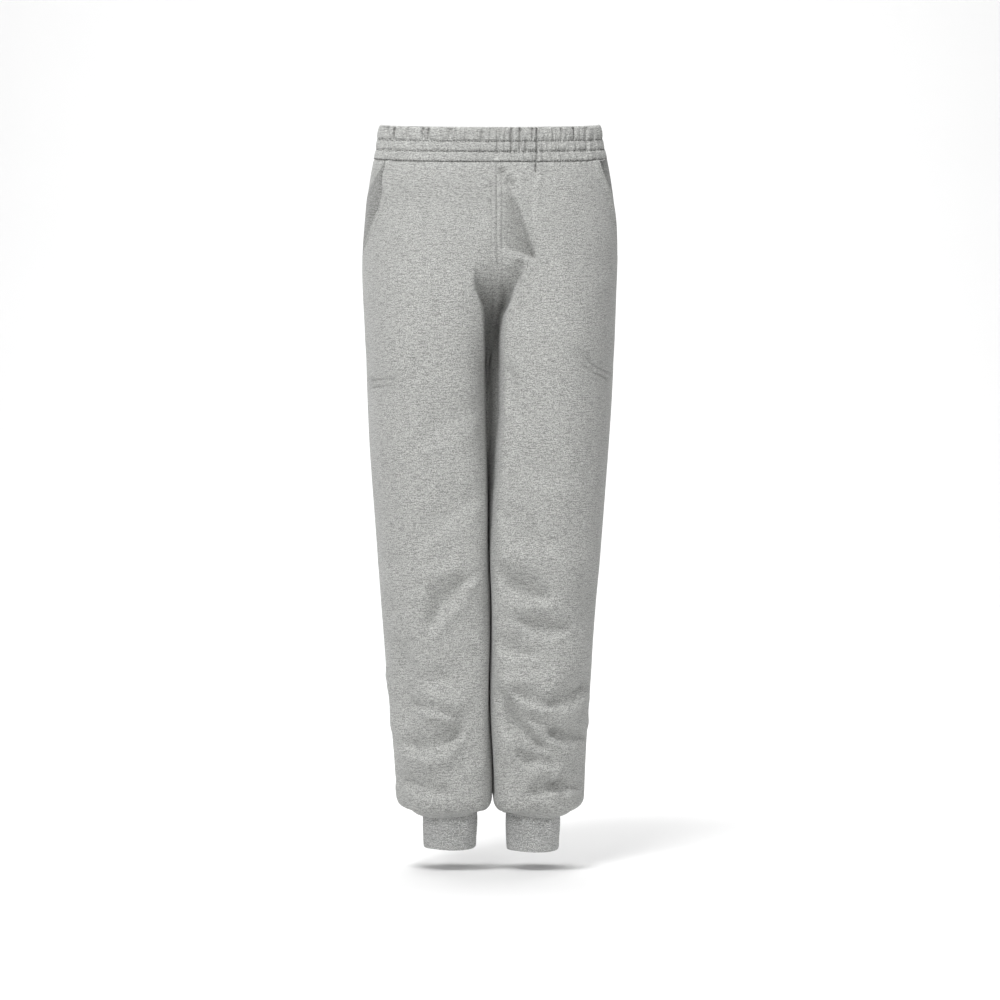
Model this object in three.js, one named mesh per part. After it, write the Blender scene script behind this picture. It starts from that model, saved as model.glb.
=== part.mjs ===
// Jogger sweatpants, filled out as if worn: an elastic waistband, two front and two back leg panels,
// two pocket bags that show in the curved pocket mouths, and two folded cuffs that the legs blouse over.
// Millimetres, +Z up, the front faces -Y. The origin is the middle of the waistband, where a wearer holds it.
import * as THREE from "three";

// Driving sizes
const CLOTH = 2.0; // wall of the brushed jersey
const SEAM_GAP = 0.3; // between two pieces that are sewn together
const LEG_GAP = 0.2; // from each leg's inside to the middle
const HOLD_DROP = 18; // the waistband's mid line, below its top edge
const BAND_DROP = 36; // the waistband's lower seam, below its top edge
const BAND_WALL = 4.2; // folded jersey round an elastic
const BAND_ROW = 12; // from the top edge to the first row of stitching, and from row to row
const FRONT_TILT = 0.15; // the waist's front edge hangs this much lower for each mm that it lies forward
const BACK_TILT = 0.05; // and its back edge stands this much higher
const TILT_END = 150; // the drop at which the tilt has died away
const GATHERS = 36; // ripples that the elastic pulls into the waistband
const GATHER_DEPTH = 0.9;
const UNEVEN_WAVES = 17; // a slower wave that makes the gathers uneven
const UNEVEN_SHARE = 0.35;
const OUTER_SQUARE = 2.15; // superellipse power of a leg's outer quarters
const CUFF_WALL = 3.0;
const CUFF_TOP = 702; // drop of the cuff's seam, hidden in the bloused hem
const CUFF_BOTTOM = { right: 755, left: 757 };
const CUFF_X = { right: 42.3, left: 44.3 };
const CUFF_BACK = 6; // how far behind the middle the cuffs hang
const CUFF_HALF_WIDTH = 27.6;
const CUFF_HALF_DEPTH = 30;
const CUFF_CLEAR = 0.9; // between the turned-in hem and the cuff that it hides
const BAG_WALL = 1.4; // the pocket bag's thinner jersey
const BAG_CLEAR = 1.5; // between the front panel and the bag behind it
const MOUTH_TURN = { right: 21.3, left: 17.3 }; // degrees from the widest point forward to the mouth's edge
const MOUTH_STRAIGHT = 66; // the mouth runs straight down to this drop
const MOUTH_END = 136; // and curves out to the widest point at this one
const MOUTH_BEND = 0.78; // power of that curve, 0.5 for an ellipse
const MOUTH_RISE = 20; // a mouth wider than this lets the bag up to the surface at the side seam
const BAG_EDGE = 68; // from the middle to the bag's inner edge
const BAG_STRAIGHT = 215;
const BAG_END = 270;
const BAG_ROUND_OUT = 271; // where the rounded corner would reach the side seam
const BAG_CORNER = 4; // power of the bag's rounded lower corner
const SIDE_TURN = { right: -17.5, left: 2 }; // degrees from the widest point back to the side seam's top
const SIDE_TURN_END = 100; // the drop at which each side seam has come round to the widest point
const FOLD_LEAST = 11; // the narrowest half width of fold that these solids show
const INSIDE_TURN = Math.PI - 0.004; // the angle of the inseam, leaving a seam's gap
const HALVINGS = 40; // steps of a search for an angle

const FRONT_COLUMNS = 12;
const BACK_COLUMNS = 10;
const BAG_COLUMNS = 8;
const CUFF_COLUMNS = 28;
const POINTS_A_GATHER = 4;
const LEAST_STEP = 4; // between two levels of points
const NORMAL_STEP = 0.02; // the turn over which a surface normal is worked out

// Reads a table whose first row names its columns.
const table = ([names, ...rows]) => {
  const named = (row) => Object.fromEntries(names.map((name, i) => [name, row[i]]));
  return rows.map(named);
};

// The form, level by level. drop is the distance below the waist's top edge. right and left, the wearer's, are
// the outline's distances from the middle plane, and the right side lies at -X. frontSeam and backSeam are how
// far the rise seam, or the slit below it, lies to +X of that plane. The forks grow from 0, one round body, to
// 1, two legs. front and back are the depths from the leg's axis, and axis is how far back that lies. soft
// rounds the fold between the legs, and square is the superellipse power of the quarters that face it.
const LEVELS = table([
  [
    "drop", "right", "left", "frontSeam", "backSeam", "frontFork", "backFork",
    "front", "back", "axis", "soft", "square",
  ],
  [0, 115.8, 116.2, 6.9, 0, 0, 0, 72, 74, 0, 30, 2.3],
  [12, 117.6, 117.6, 6.9, 0, 0, 0, 73, 75, 0, 30, 2.3],
  [36, 121.4, 122.2, 6.9, 0, 0.02, 0, 76, 79, 0, 29, 2.3],
  [58, 125.3, 126.1, 7, 0, 0.1, 0.06, 81, 87, 1, 28, 2.4],
  [80, 128.4, 128.9, 7.1, 0, 0.18, 0.13, 84.5, 94, 2, 25, 2.4],
  [105, 130.9, 131.2, 7.2, 0, 0.28, 0.22, 87, 99, 2, 21, 2.5],
  [131, 132.6, 132.6, 7.4, 0, 0.42, 0.38, 88, 102, 2, 14, 2.5],
  [152, 132.8, 132.2, 7.7, 0, 0.58, 0.52, 88, 103, 2, 9, 2.6],
  [176, 132.1, 131.2, 8, 0, 0.77, 0.68, 88, 102, 1, 5, 2.7],
  [204, 130.6, 130.2, 5, 0, 0.91, 0.85, 87.5, 99, 1, 2.5, 2.9],
  [225, 129.6, 129.4, 2.2, 0, 0.965, 0.945, 87, 96, 0, 1.2, 3.1],
  [240, 128.7, 128.6, 0.4, 0, 0.993, 0.99, 86, 93.5, 0, 0.4, 3.2],
  [246, 128.4, 128.2, -0.3, -0.3, 1, 1, 85.6, 92.5, 0, 0, 3.2],
  [258, 128.1, 127.8, -1.6, -1.6, 1, 1, 85, 91, 0, 0, 3.2],
  [290, 127, 126.2, -2.2, -2.2, 1, 1, 82, 86.5, -1, 0, 3.3],
  [330, 125.2, 123.5, -2.1, -2.1, 1, 1, 78.5, 81, -2, 0, 3.6],
  [371, 122.4, 120.4, -1, -1, 1, 1, 74, 75.5, -3, 0, 4.2],
  [413, 119.2, 117.2, -0.5, -0.5, 1, 1, 70, 71.5, -3, 0, 5],
  [455, 116.2, 113.9, -0.3, -0.3, 1, 1, 66.5, 69, -3, 0, 5],
  [496, 113.1, 110, 0.3, 0.3, 1, 1, 63.5, 67.5, -2, 0, 5],
  [538, 110, 106.9, 0.2, 0.2, 1, 1, 61, 66.5, 0, 0, 5],
  [580, 106.7, 104.4, 0, 0, 1, 1, 59, 65.5, 2, 0, 5],
  [622, 102.9, 101.5, 0.8, 0.8, 1, 1, 57, 63, 4, 0, 4.6],
  [662, 99.6, 99.3, 2, 2, 1, 1, 55.5, 60, 5, 0, 4.2],
  [694, 97.2, 98, 2.6, 2.6, 1, 1, 54, 57, 6, 0, 3.8],
]);

// Levels of the points down a leg panel. Each panel, one cut of cloth in the real garment, is parted at this
// drop into an upper and a lower solid, so that its collision follows the hollow leg.
const PANEL_SPLIT = 398;
const LEG_DROPS = [
  36.3, 46, 60, 74, 90, 106, 120, 134, 144, 154, 165, 176, 187, 198, 209, 219, 228, 236, 241, 246, 252, 262,
  276, 292, 312, 334, 357, 378, PANEL_SPLIT - SEAM_GAP / 2, PANEL_SPLIT + SEAM_GAP / 2, 423, 446, 468, 487, 505,
  523, 541, 559, 577, 595, 613, 631, 649, 667, 682, 694,
];

// The bloused hem: keep is 1 at the leg's own outline and 0 at the cuff's.
const HEM = table([
  ["keep", "drop"],
  [0.96, 703],
  [0.86, 708.5],
  [0.6, 712.6],
  [0.32, 715.2],
  [0.15, 716.2],
  [0.03, 714],
  [0, 708],
  [0, 702],
]);

// Folds: soft troughs from x0, drop0 to x1, drop1, as seen from the front or the back. width is the half width,
// and lip is how far the cloth beside it stands up.
const FOLDS = table([
  ["face", "x0", "drop0", "x1", "drop1", "depth", "width", "lip"],
  ["front", 13, 44, 25, 80, 2.6, 7, 0.5],
  ["front", 25, 80, 43, 142, 5.5, 8, 2],
  ["front", 24, 141, 44, 142, 2, 7, 0.5],
  ["front", 34, 152, 22, 176, 3, 8, 0.5],
  ["front", -14, 164, -4, 180, 2.5, 8, 0.5],
  ["front", -29, 477, -57, 515, 4.2, 9, 1.5],
  ["front", -38, 612, -102, 648, 4.5, 10, 1.5],
  ["front", -44, 639, -67, 648, 3.5, 8, 1.5],
  ["front", -89, 597, -89, 643, 2.2, 9, 0.5],
  ["front", -84, 683, -52, 693, 2.4, 7, 1],
  ["front", 6, 466, 50, 492, 4.2, 9, 1.5],
  ["front", 38, 519, 76, 524, 3.6, 7, 1.5],
  ["front", 3, 538, 36, 551, 3.2, 7, 1],
  ["front", 3, 595, 47, 642, 5.4, 8, 2],
  ["front", 29, 589, 50, 601, 3, 7, 1],
  ["front", 66, 601, 94, 590, 3.2, 7, 1],
  ["front", 49, 619, 68, 634, 3.4, 7, 1.5],
  ["front", 68, 634, 89, 636, 3.4, 7, 1.5],
  ["front", 33, 654, 57, 662, 3.2, 8, 1],
  ["front", 47, 693, 68, 688, 3.2, 6, 1.5],
  ["front", 68, 688, 85, 689, 3.2, 6, 1.5],
  ["back", -18, 266, -98, 240, 3.4, 13, 1],
  ["back", 20, 264, 96, 234, 3.4, 13, 1],
  ["back", -22, 300, -70, 276, 3, 10, 1],
  ["back", 18, 306, 72, 282, 3, 10, 1],
  ["back", -100, 436, -44, 462, 4.4, 10, 1.5],
  ["back", -92, 486, -36, 474, 3.6, 9, 1.5],
  ["back", 98, 430, 46, 458, 4.4, 10, 1.5],
  ["back", 88, 490, 30, 480, 3.6, 9, 1.5],
  ["back", -18, 560, -66, 596, 3.6, 9, 1],
  ["back", 92, 566, 40, 604, 3.6, 9, 1],
  ["back", -84, 650, -30, 668, 4, 9, 1.5],
  ["back", 22, 640, 78, 662, 4, 9, 1.5],
]);

// The waistband's cut, from its lower seam round the outside, over the top and down the inside. out is measured
// from the waist's outline, and two rows of stitching pinch it.
const BAND_PROFILE = table([
  ["out", "drop", "ripple"],
  [0.2, BAND_DROP, 0.3],
  [1.2, 2.5 * BAND_ROW, 0.7],
  [-0.3, 2 * BAND_ROW, 0.4],
  [1.2, 1.5 * BAND_ROW, 0.8],
  [-0.3, BAND_ROW, 0.5],
  [1.4, 0.5 * BAND_ROW, 1],
  [-0.4, 0.2, 0.6],
  [0.4 - BAND_WALL, 1, 0],
  [-BAND_WALL, BAND_DROP, 0],
]);

// The cuff's cut, from its seam down the inside, round the fold and up the outside. part runs from 0 at the
// seam to 1 at the fold.
const CUFF_PROFILE = table([
  ["out", "part"],
  [-CUFF_WALL, 0],
  [-CUFF_WALL, 0.9],
  [-0.75 * CUFF_WALL, 0.985],
  [-0.35 * CUFF_WALL, 1],
  [0, 0.965],
  [0.6, 0.86],
  [0.1, 0.45],
  [0, 0],
]);

const FABRIC = { color: 0xa6a7a3, roughness: 0.92, metalness: 0 };
const RIB = { color: 0x9c9d9a, roughness: 0.94, metalness: 0 };
const BAG_FABRIC = { color: 0x979894, roughness: 0.94, metalness: 0 };

const radians = THREE.MathUtils.degToRad;
const clamp = THREE.MathUtils.clamp;
const smoothstep = THREE.MathUtils.smoothstep;
const signOf = (side) => (side === "right" ? -1 : 1);

// A smooth value between the rows of LEVELS that never overshoots them.
function levelValue(drop, column) {
  const last = LEVELS.length - 2;
  const found = LEVELS.findIndex((row) => row.drop > drop) - 1;
  const i = found < -1 ? last : clamp(found, 0, last);
  const slopeOf = (j) => {
    if (j < 0 || j > last) return null;
    return (LEVELS[j + 1][column] - LEVELS[j][column]) / (LEVELS[j + 1].drop - LEVELS[j].drop);
  };
  const tangentAt = (j) => {
    const before = slopeOf(j - 1);
    const after = slopeOf(j);
    if (before === null || after === null) return before ?? after;
    return before * after <= 0 ? 0 : (2 * before * after) / (before + after);
  };
  const span = LEVELS[i + 1].drop - LEVELS[i].drop;
  const t = clamp((drop - LEVELS[i].drop) / span, 0, 1);
  const rise = t * t * (3 - 2 * t);
  return (
    LEVELS[i][column] * (1 - rise) +
    LEVELS[i + 1][column] * rise +
    span * t * (1 - t) * ((1 - t) * tangentAt(i) - t * tangentAt(i + 1))
  );
}

// The half section of one leg and its share of the seat: centre, half width and depth of the lobe in front or
// behind.
function lobe(side, drop, isFront) {
  const seam = levelValue(drop, isFront ? "frontSeam" : "backSeam");
  const reach = levelValue(drop, side) - signOf(side) * seam;
  const fork = levelValue(drop, isFront ? "frontFork" : "backFork");
  const centre = (reach * fork) / (1 + fork) + LEG_GAP / 2;
  return {
    seam,
    fork,
    centre,
    half: reach - centre,
    depth: levelValue(drop, isFront ? "front" : "back"),
    axis: levelValue(drop, "axis"),
    soft: levelValue(drop, "soft"),
    square: levelValue(drop, "square"),
  };
}

// How far a fold pushes the cloth in at one place of the front or back view.
function foldDepth(face, x, drop) {
  let depth = 0;
  for (const fold of FOLDS) {
    if (fold.face !== face) continue;
    const along = new THREE.Vector2(fold.x1 - fold.x0, fold.drop1 - fold.drop0);
    const away = new THREE.Vector2(x - fold.x0, drop - fold.drop0);
    const length = along.length();
    const share = away.dot(along) / length;
    const across = Math.abs(away.cross(along)) / length;
    const past = Math.max(0, -share, share - length);
    const width = Math.max(fold.width, FOLD_LEAST);
    const ends = Math.exp(-((past / width) ** 2));
    const trough = Math.exp(-((across / width) ** 2));
    const lip = Math.exp(-(((across - 2 * width) / width) ** 2));
    depth += ends * (fold.depth * trough - fold.lip * lip);
  }
  return depth;
}

// A point of the outside of the cloth. angle is 0 at the widest point of the side, negative in front and
// positive behind, and reaches half a turn at the inside of the leg.
function skinPoint(side, angle, drop) {
  const isFront = angle < 0;
  const { seam, fork, centre, half, depth, axis, soft, square } = lobe(side, drop, isFront);
  const across = Math.cos(angle);
  const power = across < 0 ? square : OUTER_SQUARE;
  const radius =
    (Math.abs(across / half) ** power + Math.abs(Math.sin(angle) / depth) ** power) ** (-1 / power);
  let out = centre + radius * across;
  let forward = radius * Math.sin(angle);
  if (fork < 1 && out < centre) {
    const softened = Math.min(Math.hypot(out, soft), centre);
    const share = Math.min(1, (centre - softened) / half);
    forward = Math.sign(angle) * depth * (1 - share ** power) ** (1 / power);
  }
  const x = seam + signOf(side) * out;
  const press = foldDepth(isFront ? "front" : "back", x, drop) * Math.abs(Math.sin(angle)) ** 0.5;
  const pushed = 1 - press / (Math.hypot(out - centre, forward) || 1);
  const moved = centre + (out - centre) * pushed;
  out = fork < 1 ? moved : Math.max(moved, LEG_GAP);
  const y = axis + forward * pushed;
  const tilt = y < 0 ? FRONT_TILT : BACK_TILT;
  const settle = 1 - smoothstep(drop, BAND_DROP, TILT_END);
  return new THREE.Vector3(seam + signOf(side) * out, y, HOLD_DROP - drop + tilt * y * settle);
}

// A point of the cuff's outside, pushed out by some amount.
function cuffPoint(side, angle, drop, out) {
  return new THREE.Vector3(
    signOf(side) * (CUFF_X[side] + (CUFF_HALF_WIDTH + out) * Math.cos(angle)),
    CUFF_BACK + (CUFF_HALF_DEPTH + out) * Math.sin(angle),
    HOLD_DROP - drop,
  );
}

// The rows of a leg panel: down the leg, then round the bloused hem to the cuff's seam.
const LEG_END = LEG_DROPS.at(-1);
const LEG_ROWS = [
  ...LEG_DROPS.map((drop) => ({ drop, place: (side, angle) => skinPoint(side, angle, drop) })),
  ...HEM.map(({ keep, drop }) => ({
    drop,
    place: (side, angle) => {
      const end = skinPoint(side, angle, LEG_END);
      const seam = cuffPoint(side, angle, drop, CUFF_CLEAR);
      return new THREE.Vector3(
        seam.x + (end.x - seam.x) * keep,
        seam.y + (end.y - seam.y) * keep,
        HOLD_DROP - drop,
      );
    },
  })),
];

// The outward normal at one place of a list of rows.
function normalAt(rows, row, side, angle) {
  const ahead = rows[row].place(side, angle + NORMAL_STEP);
  const around = ahead.sub(rows[row].place(side, angle - NORMAL_STEP));
  const below = rows[Math.min(row + 1, rows.length - 1)].place(side, angle);
  const above = rows[Math.max(row - 1, 0)].place(side, angle);
  return below.sub(above).cross(around).multiplyScalar(signOf(side)).normalize();
}

// The angle, in front or behind, at which the cloth comes within a distance of the rise seam or the slit.
function angleAt(row, side, isFront, distance) {
  const sign = isFront ? -1 : 1;
  const seam = levelValue(Math.min(row.drop, LEG_END), isFront ? "frontSeam" : "backSeam");
  const outAt = (turn) => signOf(side) * (row.place(side, sign * turn).x - seam);
  let low = 0;
  let high = INSIDE_TURN;
  if (outAt(high) > distance) return sign * high;
  for (let i = 0; i < HALVINGS; i++) {
    const middle = (low + high) / 2;
    if (outAt(middle) > distance) low = middle;
    else high = middle;
  }
  return sign * low;
}

const sideAngle = (side, drop) =>
  radians(SIDE_TURN[side]) * (1 - smoothstep(drop, BAND_DROP, SIDE_TURN_END));

// How far in front of the side seam the pocket mouth lies at a given drop.
function mouthAngle(side, drop) {
  if (drop >= MOUTH_END) return 0;
  const run = clamp((drop - MOUTH_STRAIGHT) / (MOUTH_END - MOUTH_STRAIGHT), 0, 1);
  const edge = radians(MOUTH_TURN[side]) * (1 - run * run) ** MOUTH_BEND;
  return Math.max(0, edge + sideAngle(side, drop));
}

// Joins an outer and an inner grid of points into one closed wall.
function wallGeometry(outer, inner, flip) {
  const rows = outer.length;
  const columns = outer[0].length;
  const positions = [...outer.flat(), ...inner.flat()].flatMap((p) => [p.x, p.y, p.z]);
  const at = (layer, row, column) => (layer * rows + row) * columns + column;
  const index = [];
  const quad = (a, b, c, d) => index.push(...(flip ? [a, c, b, a, d, c] : [a, b, c, a, c, d]));
  for (let row = 0; row < rows - 1; row++)
    for (let column = 0; column < columns - 1; column++) {
      quad(at(0, row, column), at(0, row + 1, column), at(0, row + 1, column + 1), at(0, row, column + 1));
      quad(at(1, row, column), at(1, row, column + 1), at(1, row + 1, column + 1), at(1, row + 1, column));
    }
  for (let row = 0; row < rows - 1; row++) {
    const end = columns - 1;
    quad(at(0, row, 0), at(1, row, 0), at(1, row + 1, 0), at(0, row + 1, 0));
    quad(at(0, row, end), at(0, row + 1, end), at(1, row + 1, end), at(1, row, end));
  }
  for (let column = 0; column < columns - 1; column++) {
    const end = rows - 1;
    quad(at(0, 0, column), at(0, 0, column + 1), at(1, 0, column + 1), at(1, 0, column));
    quad(at(0, end, column), at(1, end, column), at(1, end, column + 1), at(0, end, column + 1));
  }
  return geometryOf(positions, index);
}

// Joins rings of points, the last to the first, into one closed hoop.
function hoopGeometry(rings) {
  const columns = rings[0].length;
  const positions = rings.flat().flatMap((p) => [p.x, p.y, p.z]);
  const index = [];
  rings.forEach((_, row) => {
    const next = (row + 1) % rings.length;
    for (let column = 0; column < columns; column++) {
      const beside = (column + 1) % columns;
      const [a, b] = [row * columns + column, next * columns + column];
      const [c, d] = [next * columns + beside, row * columns + beside];
      index.push(a, c, b, a, d, c);
    }
  });
  return geometryOf(positions, index);
}

function geometryOf(positions, index) {
  const geometry = new THREE.BufferGeometry();
  geometry.setAttribute("position", new THREE.Float32BufferAttribute(positions, 3));
  geometry.setIndex(index);
  geometry.computeVertexNormals();
  return geometry;
}

function namedMesh(name, geometry, finish) {
  const mesh = new THREE.Mesh(geometry, new THREE.MeshStandardMaterial(finish));
  mesh.name = name;
  return mesh;
}

// The rows of a panel's two solids.
const FIRST_LOWER = LEG_DROPS.findIndex((drop) => drop > PANEL_SPLIT);
const PANEL_PARTS = {
  upper: { first: 0, last: FIRST_LOWER - 1 },
  lower: { first: FIRST_LOWER, last: LEG_ROWS.length - 1 },
};

// Part of a leg panel: a wall of cloth from the rise seam or inseam round to the side seam or the pocket mouth.
function legPanel(side, isFront, columns, { first, last }) {
  const outer = [];
  const inner = [];
  for (let index = first; index <= last; index++) {
    const row = LEG_ROWS[index];
    const from = angleAt(row, side, isFront, SEAM_GAP / 2);
    const sideGap = SEAM_GAP / 2 / levelValue(Math.min(row.drop, LEG_END), side);
    const cut = isFront ? mouthAngle(side, row.drop) : 0;
    const to = sideAngle(side, row.drop) - (isFront ? cut + sideGap : -sideGap);
    const outerRow = [];
    const innerRow = [];
    for (let column = 0; column <= columns; column++) {
      const angle = from + ((to - from) * column) / columns;
      const point = row.place(side, angle);
      const normal = normalAt(LEG_ROWS, index, side, angle);
      const onRiseSeam = column === 0 && Math.abs(from) < INSIDE_TURN;
      if (onRiseSeam) normal.setX(0).normalize();
      outerRow.push(point);
      innerRow.push(point.clone().addScaledVector(normal, -CLOTH));
    }
    outer.push(outerRow);
    inner.push(innerRow);
  }
  return wallGeometry(outer, inner, (side === "right") === isFront);
}

// A pocket bag: one layer behind the front panel, which rises to the surface inside the pocket mouth.
function pocketBag(side) {
  const drops = LEG_DROPS.filter((drop) => drop < BAG_END - LEAST_STEP).concat(BAG_END);
  const rows = drops.map((drop) => ({ drop, place: (s, angle) => skinPoint(s, angle, drop) }));
  const outer = [];
  const inner = [];
  rows.forEach((row, index) => {
    const run = clamp((row.drop - BAG_STRAIGHT) / (BAG_ROUND_OUT - BAG_STRAIGHT), 0, 1);
    const corner = 1 - (1 - run ** BAG_CORNER) ** (1 / BAG_CORNER);
    const edge = BAG_EDGE + (levelValue(row.drop, side) - BAG_EDGE) * corner;
    const radius = levelValue(row.drop, side);
    const mouth = mouthAngle(side, row.drop);
    const open = clamp((mouth * radius) / MOUTH_RISE, 0, 1);
    const from = angleAt(row, side, true, edge - signOf(side) * levelValue(row.drop, "frontSeam"));
    const to = sideAngle(side, row.drop) - SEAM_GAP / radius;
    const outerRow = [];
    const innerRow = [];
    for (let column = 0; column <= BAG_COLUMNS; column++) {
      const angle = from + ((to - from) * column) / BAG_COLUMNS;
      const rise = mouth > 0 ? open * clamp(1 - (to - angle) / mouth, 0, 1) : 0;
      const sink = (CLOTH + BAG_CLEAR) * (1 - rise);
      const point = row.place(side, angle);
      const normal = normalAt(rows, index, side, angle);
      outerRow.push(point.clone().addScaledVector(normal, -sink));
      innerRow.push(point.clone().addScaledVector(normal, -sink - BAG_WALL));
    }
    outer.push(outerRow);
    inner.push(innerRow);
  });
  return wallGeometry(outer, inner, side === "right");
}

// The waistband: a gathered hoop all round the waist.
function waistband() {
  const columns = GATHERS * POINTS_A_GATHER;
  const rings = BAND_PROFILE.map(({ out, drop, ripple }) => {
    const ring = [];
    for (let column = 0; column < columns; column++) {
      const turn = (column / columns) * 2 * Math.PI;
      const side = turn <= Math.PI ? "left" : "right";
      const angle = side === "left" ? turn - Math.PI / 2 : (3 * Math.PI) / 2 - turn;
      const point = skinPoint(side, angle, drop);
      const wave = Math.sin(GATHERS * turn) + UNEVEN_SHARE * Math.sin(UNEVEN_WAVES * turn + 1);
      const push = out + ripple * GATHER_DEPTH * wave;
      const normal = new THREE.Vector3(signOf(side) * Math.cos(angle), Math.sin(angle), 0);
      ring.push(point.addScaledVector(normal, push));
    }
    return ring;
  });
  return hoopGeometry(rings);
}

// A cuff: a folded tube of rib.
function cuff(side) {
  const rings = CUFF_PROFILE.map(({ out, part }) => {
    const drop = CUFF_TOP + (CUFF_BOTTOM[side] - CUFF_TOP) * part;
    return Array.from({ length: CUFF_COLUMNS }, (_, column) => {
      const turn = (column / CUFF_COLUMNS) * 2 * Math.PI;
      return cuffPoint(side, signOf(side) * turn + (side === "right" ? Math.PI : 0), drop, out);
    });
  });
  return hoopGeometry(rings);
}

const trousers = new THREE.Group();
trousers.add(namedMesh("waistband", waistband(), FABRIC));
for (const side of ["right", "left"]) {
  for (const [part, rows] of Object.entries(PANEL_PARTS)) {
    trousers.add(
      namedMesh(`front_${side}_${part}`, legPanel(side, true, FRONT_COLUMNS, rows), FABRIC),
      namedMesh(`back_${side}_${part}`, legPanel(side, false, BACK_COLUMNS, rows), FABRIC),
    );
  }
  trousers.add(
    namedMesh(`pocket_bag_${side}`, pocketBag(side), BAG_FABRIC),
    namedMesh(`cuff_${side}`, cuff(side), RIB),
  );
}

export default trousers;
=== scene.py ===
"""Jogger sweatpants in marled grey jersey, filled out as if worn.

Each cloth piece is a thin shell on the form of its solid. The form is worked out from the same levels as the
solids, and the creases, seams, gathers and stitches are laid on top of it.
"""
import math

import bpy
import numpy as np
from bpy.props import FloatProperty, FloatVectorProperty, IntProperty, PointerProperty
from mathutils import Matrix, Vector


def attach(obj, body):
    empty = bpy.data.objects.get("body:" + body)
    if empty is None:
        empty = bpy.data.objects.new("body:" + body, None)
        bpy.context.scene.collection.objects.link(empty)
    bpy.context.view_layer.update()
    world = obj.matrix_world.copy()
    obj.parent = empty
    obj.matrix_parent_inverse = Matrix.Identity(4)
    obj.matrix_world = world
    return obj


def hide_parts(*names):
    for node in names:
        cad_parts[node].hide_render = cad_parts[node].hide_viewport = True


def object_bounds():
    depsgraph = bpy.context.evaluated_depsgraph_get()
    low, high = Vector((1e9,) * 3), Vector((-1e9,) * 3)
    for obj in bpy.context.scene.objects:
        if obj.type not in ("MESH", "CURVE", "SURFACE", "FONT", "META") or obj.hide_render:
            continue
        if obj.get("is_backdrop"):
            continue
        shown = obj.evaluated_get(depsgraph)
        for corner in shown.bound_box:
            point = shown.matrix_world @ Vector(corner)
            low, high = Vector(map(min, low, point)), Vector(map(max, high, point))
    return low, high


bl_info = {
    "name": "Jogger sweatpants",
    "version": (1, 0, 0),
    "blender": (4, 5, 0),
    "location": "View3D > Sidebar > Jogger",
    "description": "Builds marled jersey jogger sweatpants round their solids",
    "category": "Add Mesh",
}

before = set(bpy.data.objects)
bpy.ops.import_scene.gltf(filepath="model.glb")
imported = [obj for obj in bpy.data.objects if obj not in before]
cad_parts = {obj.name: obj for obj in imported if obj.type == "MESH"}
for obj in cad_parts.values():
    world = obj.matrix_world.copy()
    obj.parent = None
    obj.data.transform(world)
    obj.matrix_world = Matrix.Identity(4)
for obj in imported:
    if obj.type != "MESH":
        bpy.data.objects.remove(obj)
CAD_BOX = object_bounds()
MM = 0.001
SIDES = ("right", "left")

# The form of the solids, in millimetres, with the pocket mouths and the hems closer to the photo. drop is the
# distance below the waist's top edge.
HOLD_DROP = 18
BAND_DROP = 36
BAND_ROWS = (0, 14.8, 25.3, 36)  # the top edge and the rows of stitches
BAND_WALL = 4.2
BAND_RADIUS = 100  # of a round waist as long as the band
BAND_COLUMNS = 1441
FRONT_TILT = 0.15  # how far the waist sinks to the front and rises to the back, as a share of the depth
BACK_TILT = 0.05
TILT_END = 150
OUTER_SQUARE = 2.15
LEG_GAP = 0.2
ALMOST_HALF_TURN = math.pi - 0.0015  # as near to the inside of the leg as an angle is taken
CORNER_TURN = math.radians(147)  # where a panel turns to the inside of the leg
INSIDE_SHARE = 0.2  # the share of a panel's columns that lie inside that corner
PANEL_COLUMNS = 122
PANEL_STEP = 2.2  # from row to row down a panel
PANEL_SIDE = 400  # the flat measure at a panel's side seam
PANEL_FLAT = {"front": ((0.25, 0.72), 0.155), "back": ((0.27, 0.73), 0.17)}  # metres, and square metres
CUFF_TOP = 702
CUFF_BOTTOM = {"right": 755, "left": 757}
CUFF_X = {"right": 42.3, "left": 44.3}
CUFF_BACK = 6
CUFF_HALF_WIDTH = 27.6
CUFF_HALF_DEPTH = 30
CUFF_CLEAR = 0.5
CUFF_RADIUS = 29  # of a round cuff as long round as this one
CUFF_COLUMNS = 241
MOUTH_END = 136
MOUTH_DROPS = (36, 50, 60, 72, 84, 98, 112, 124, MOUTH_END)
MOUTH_TURN = {  # degrees in front of the widest point
    "right": (20, 21, 23, 26, 26.5, 24.5, 20.5, 14, 0),
    "left": (19, 19, 17.3, 15, 13.5, 11.5, 9, 5.5, 0),
}
MOUTH_WIDE = 20  # how wide a mouth is where its bag sinks in fully
BAG_EDGE = 68  # from the middle to the bag's inner edge, straight down at first and then round to the side
BAG_STRAIGHT = 215
BAG_END = 270
BAG_ROUND_OUT = 271
BAG_CORNER = 4
BAG_CLOTH = 0.0012  # in metres
BAG_LEAST_SINK = 2.6
BAG_MORE_SINK = 6
SIDE_TURN = {"right": -17.5, "left": 2}  # degrees from the widest point to the side seam at the waistband
SIDE_TURN_END = 100
SHARP_EDGE = math.radians(65)

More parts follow.
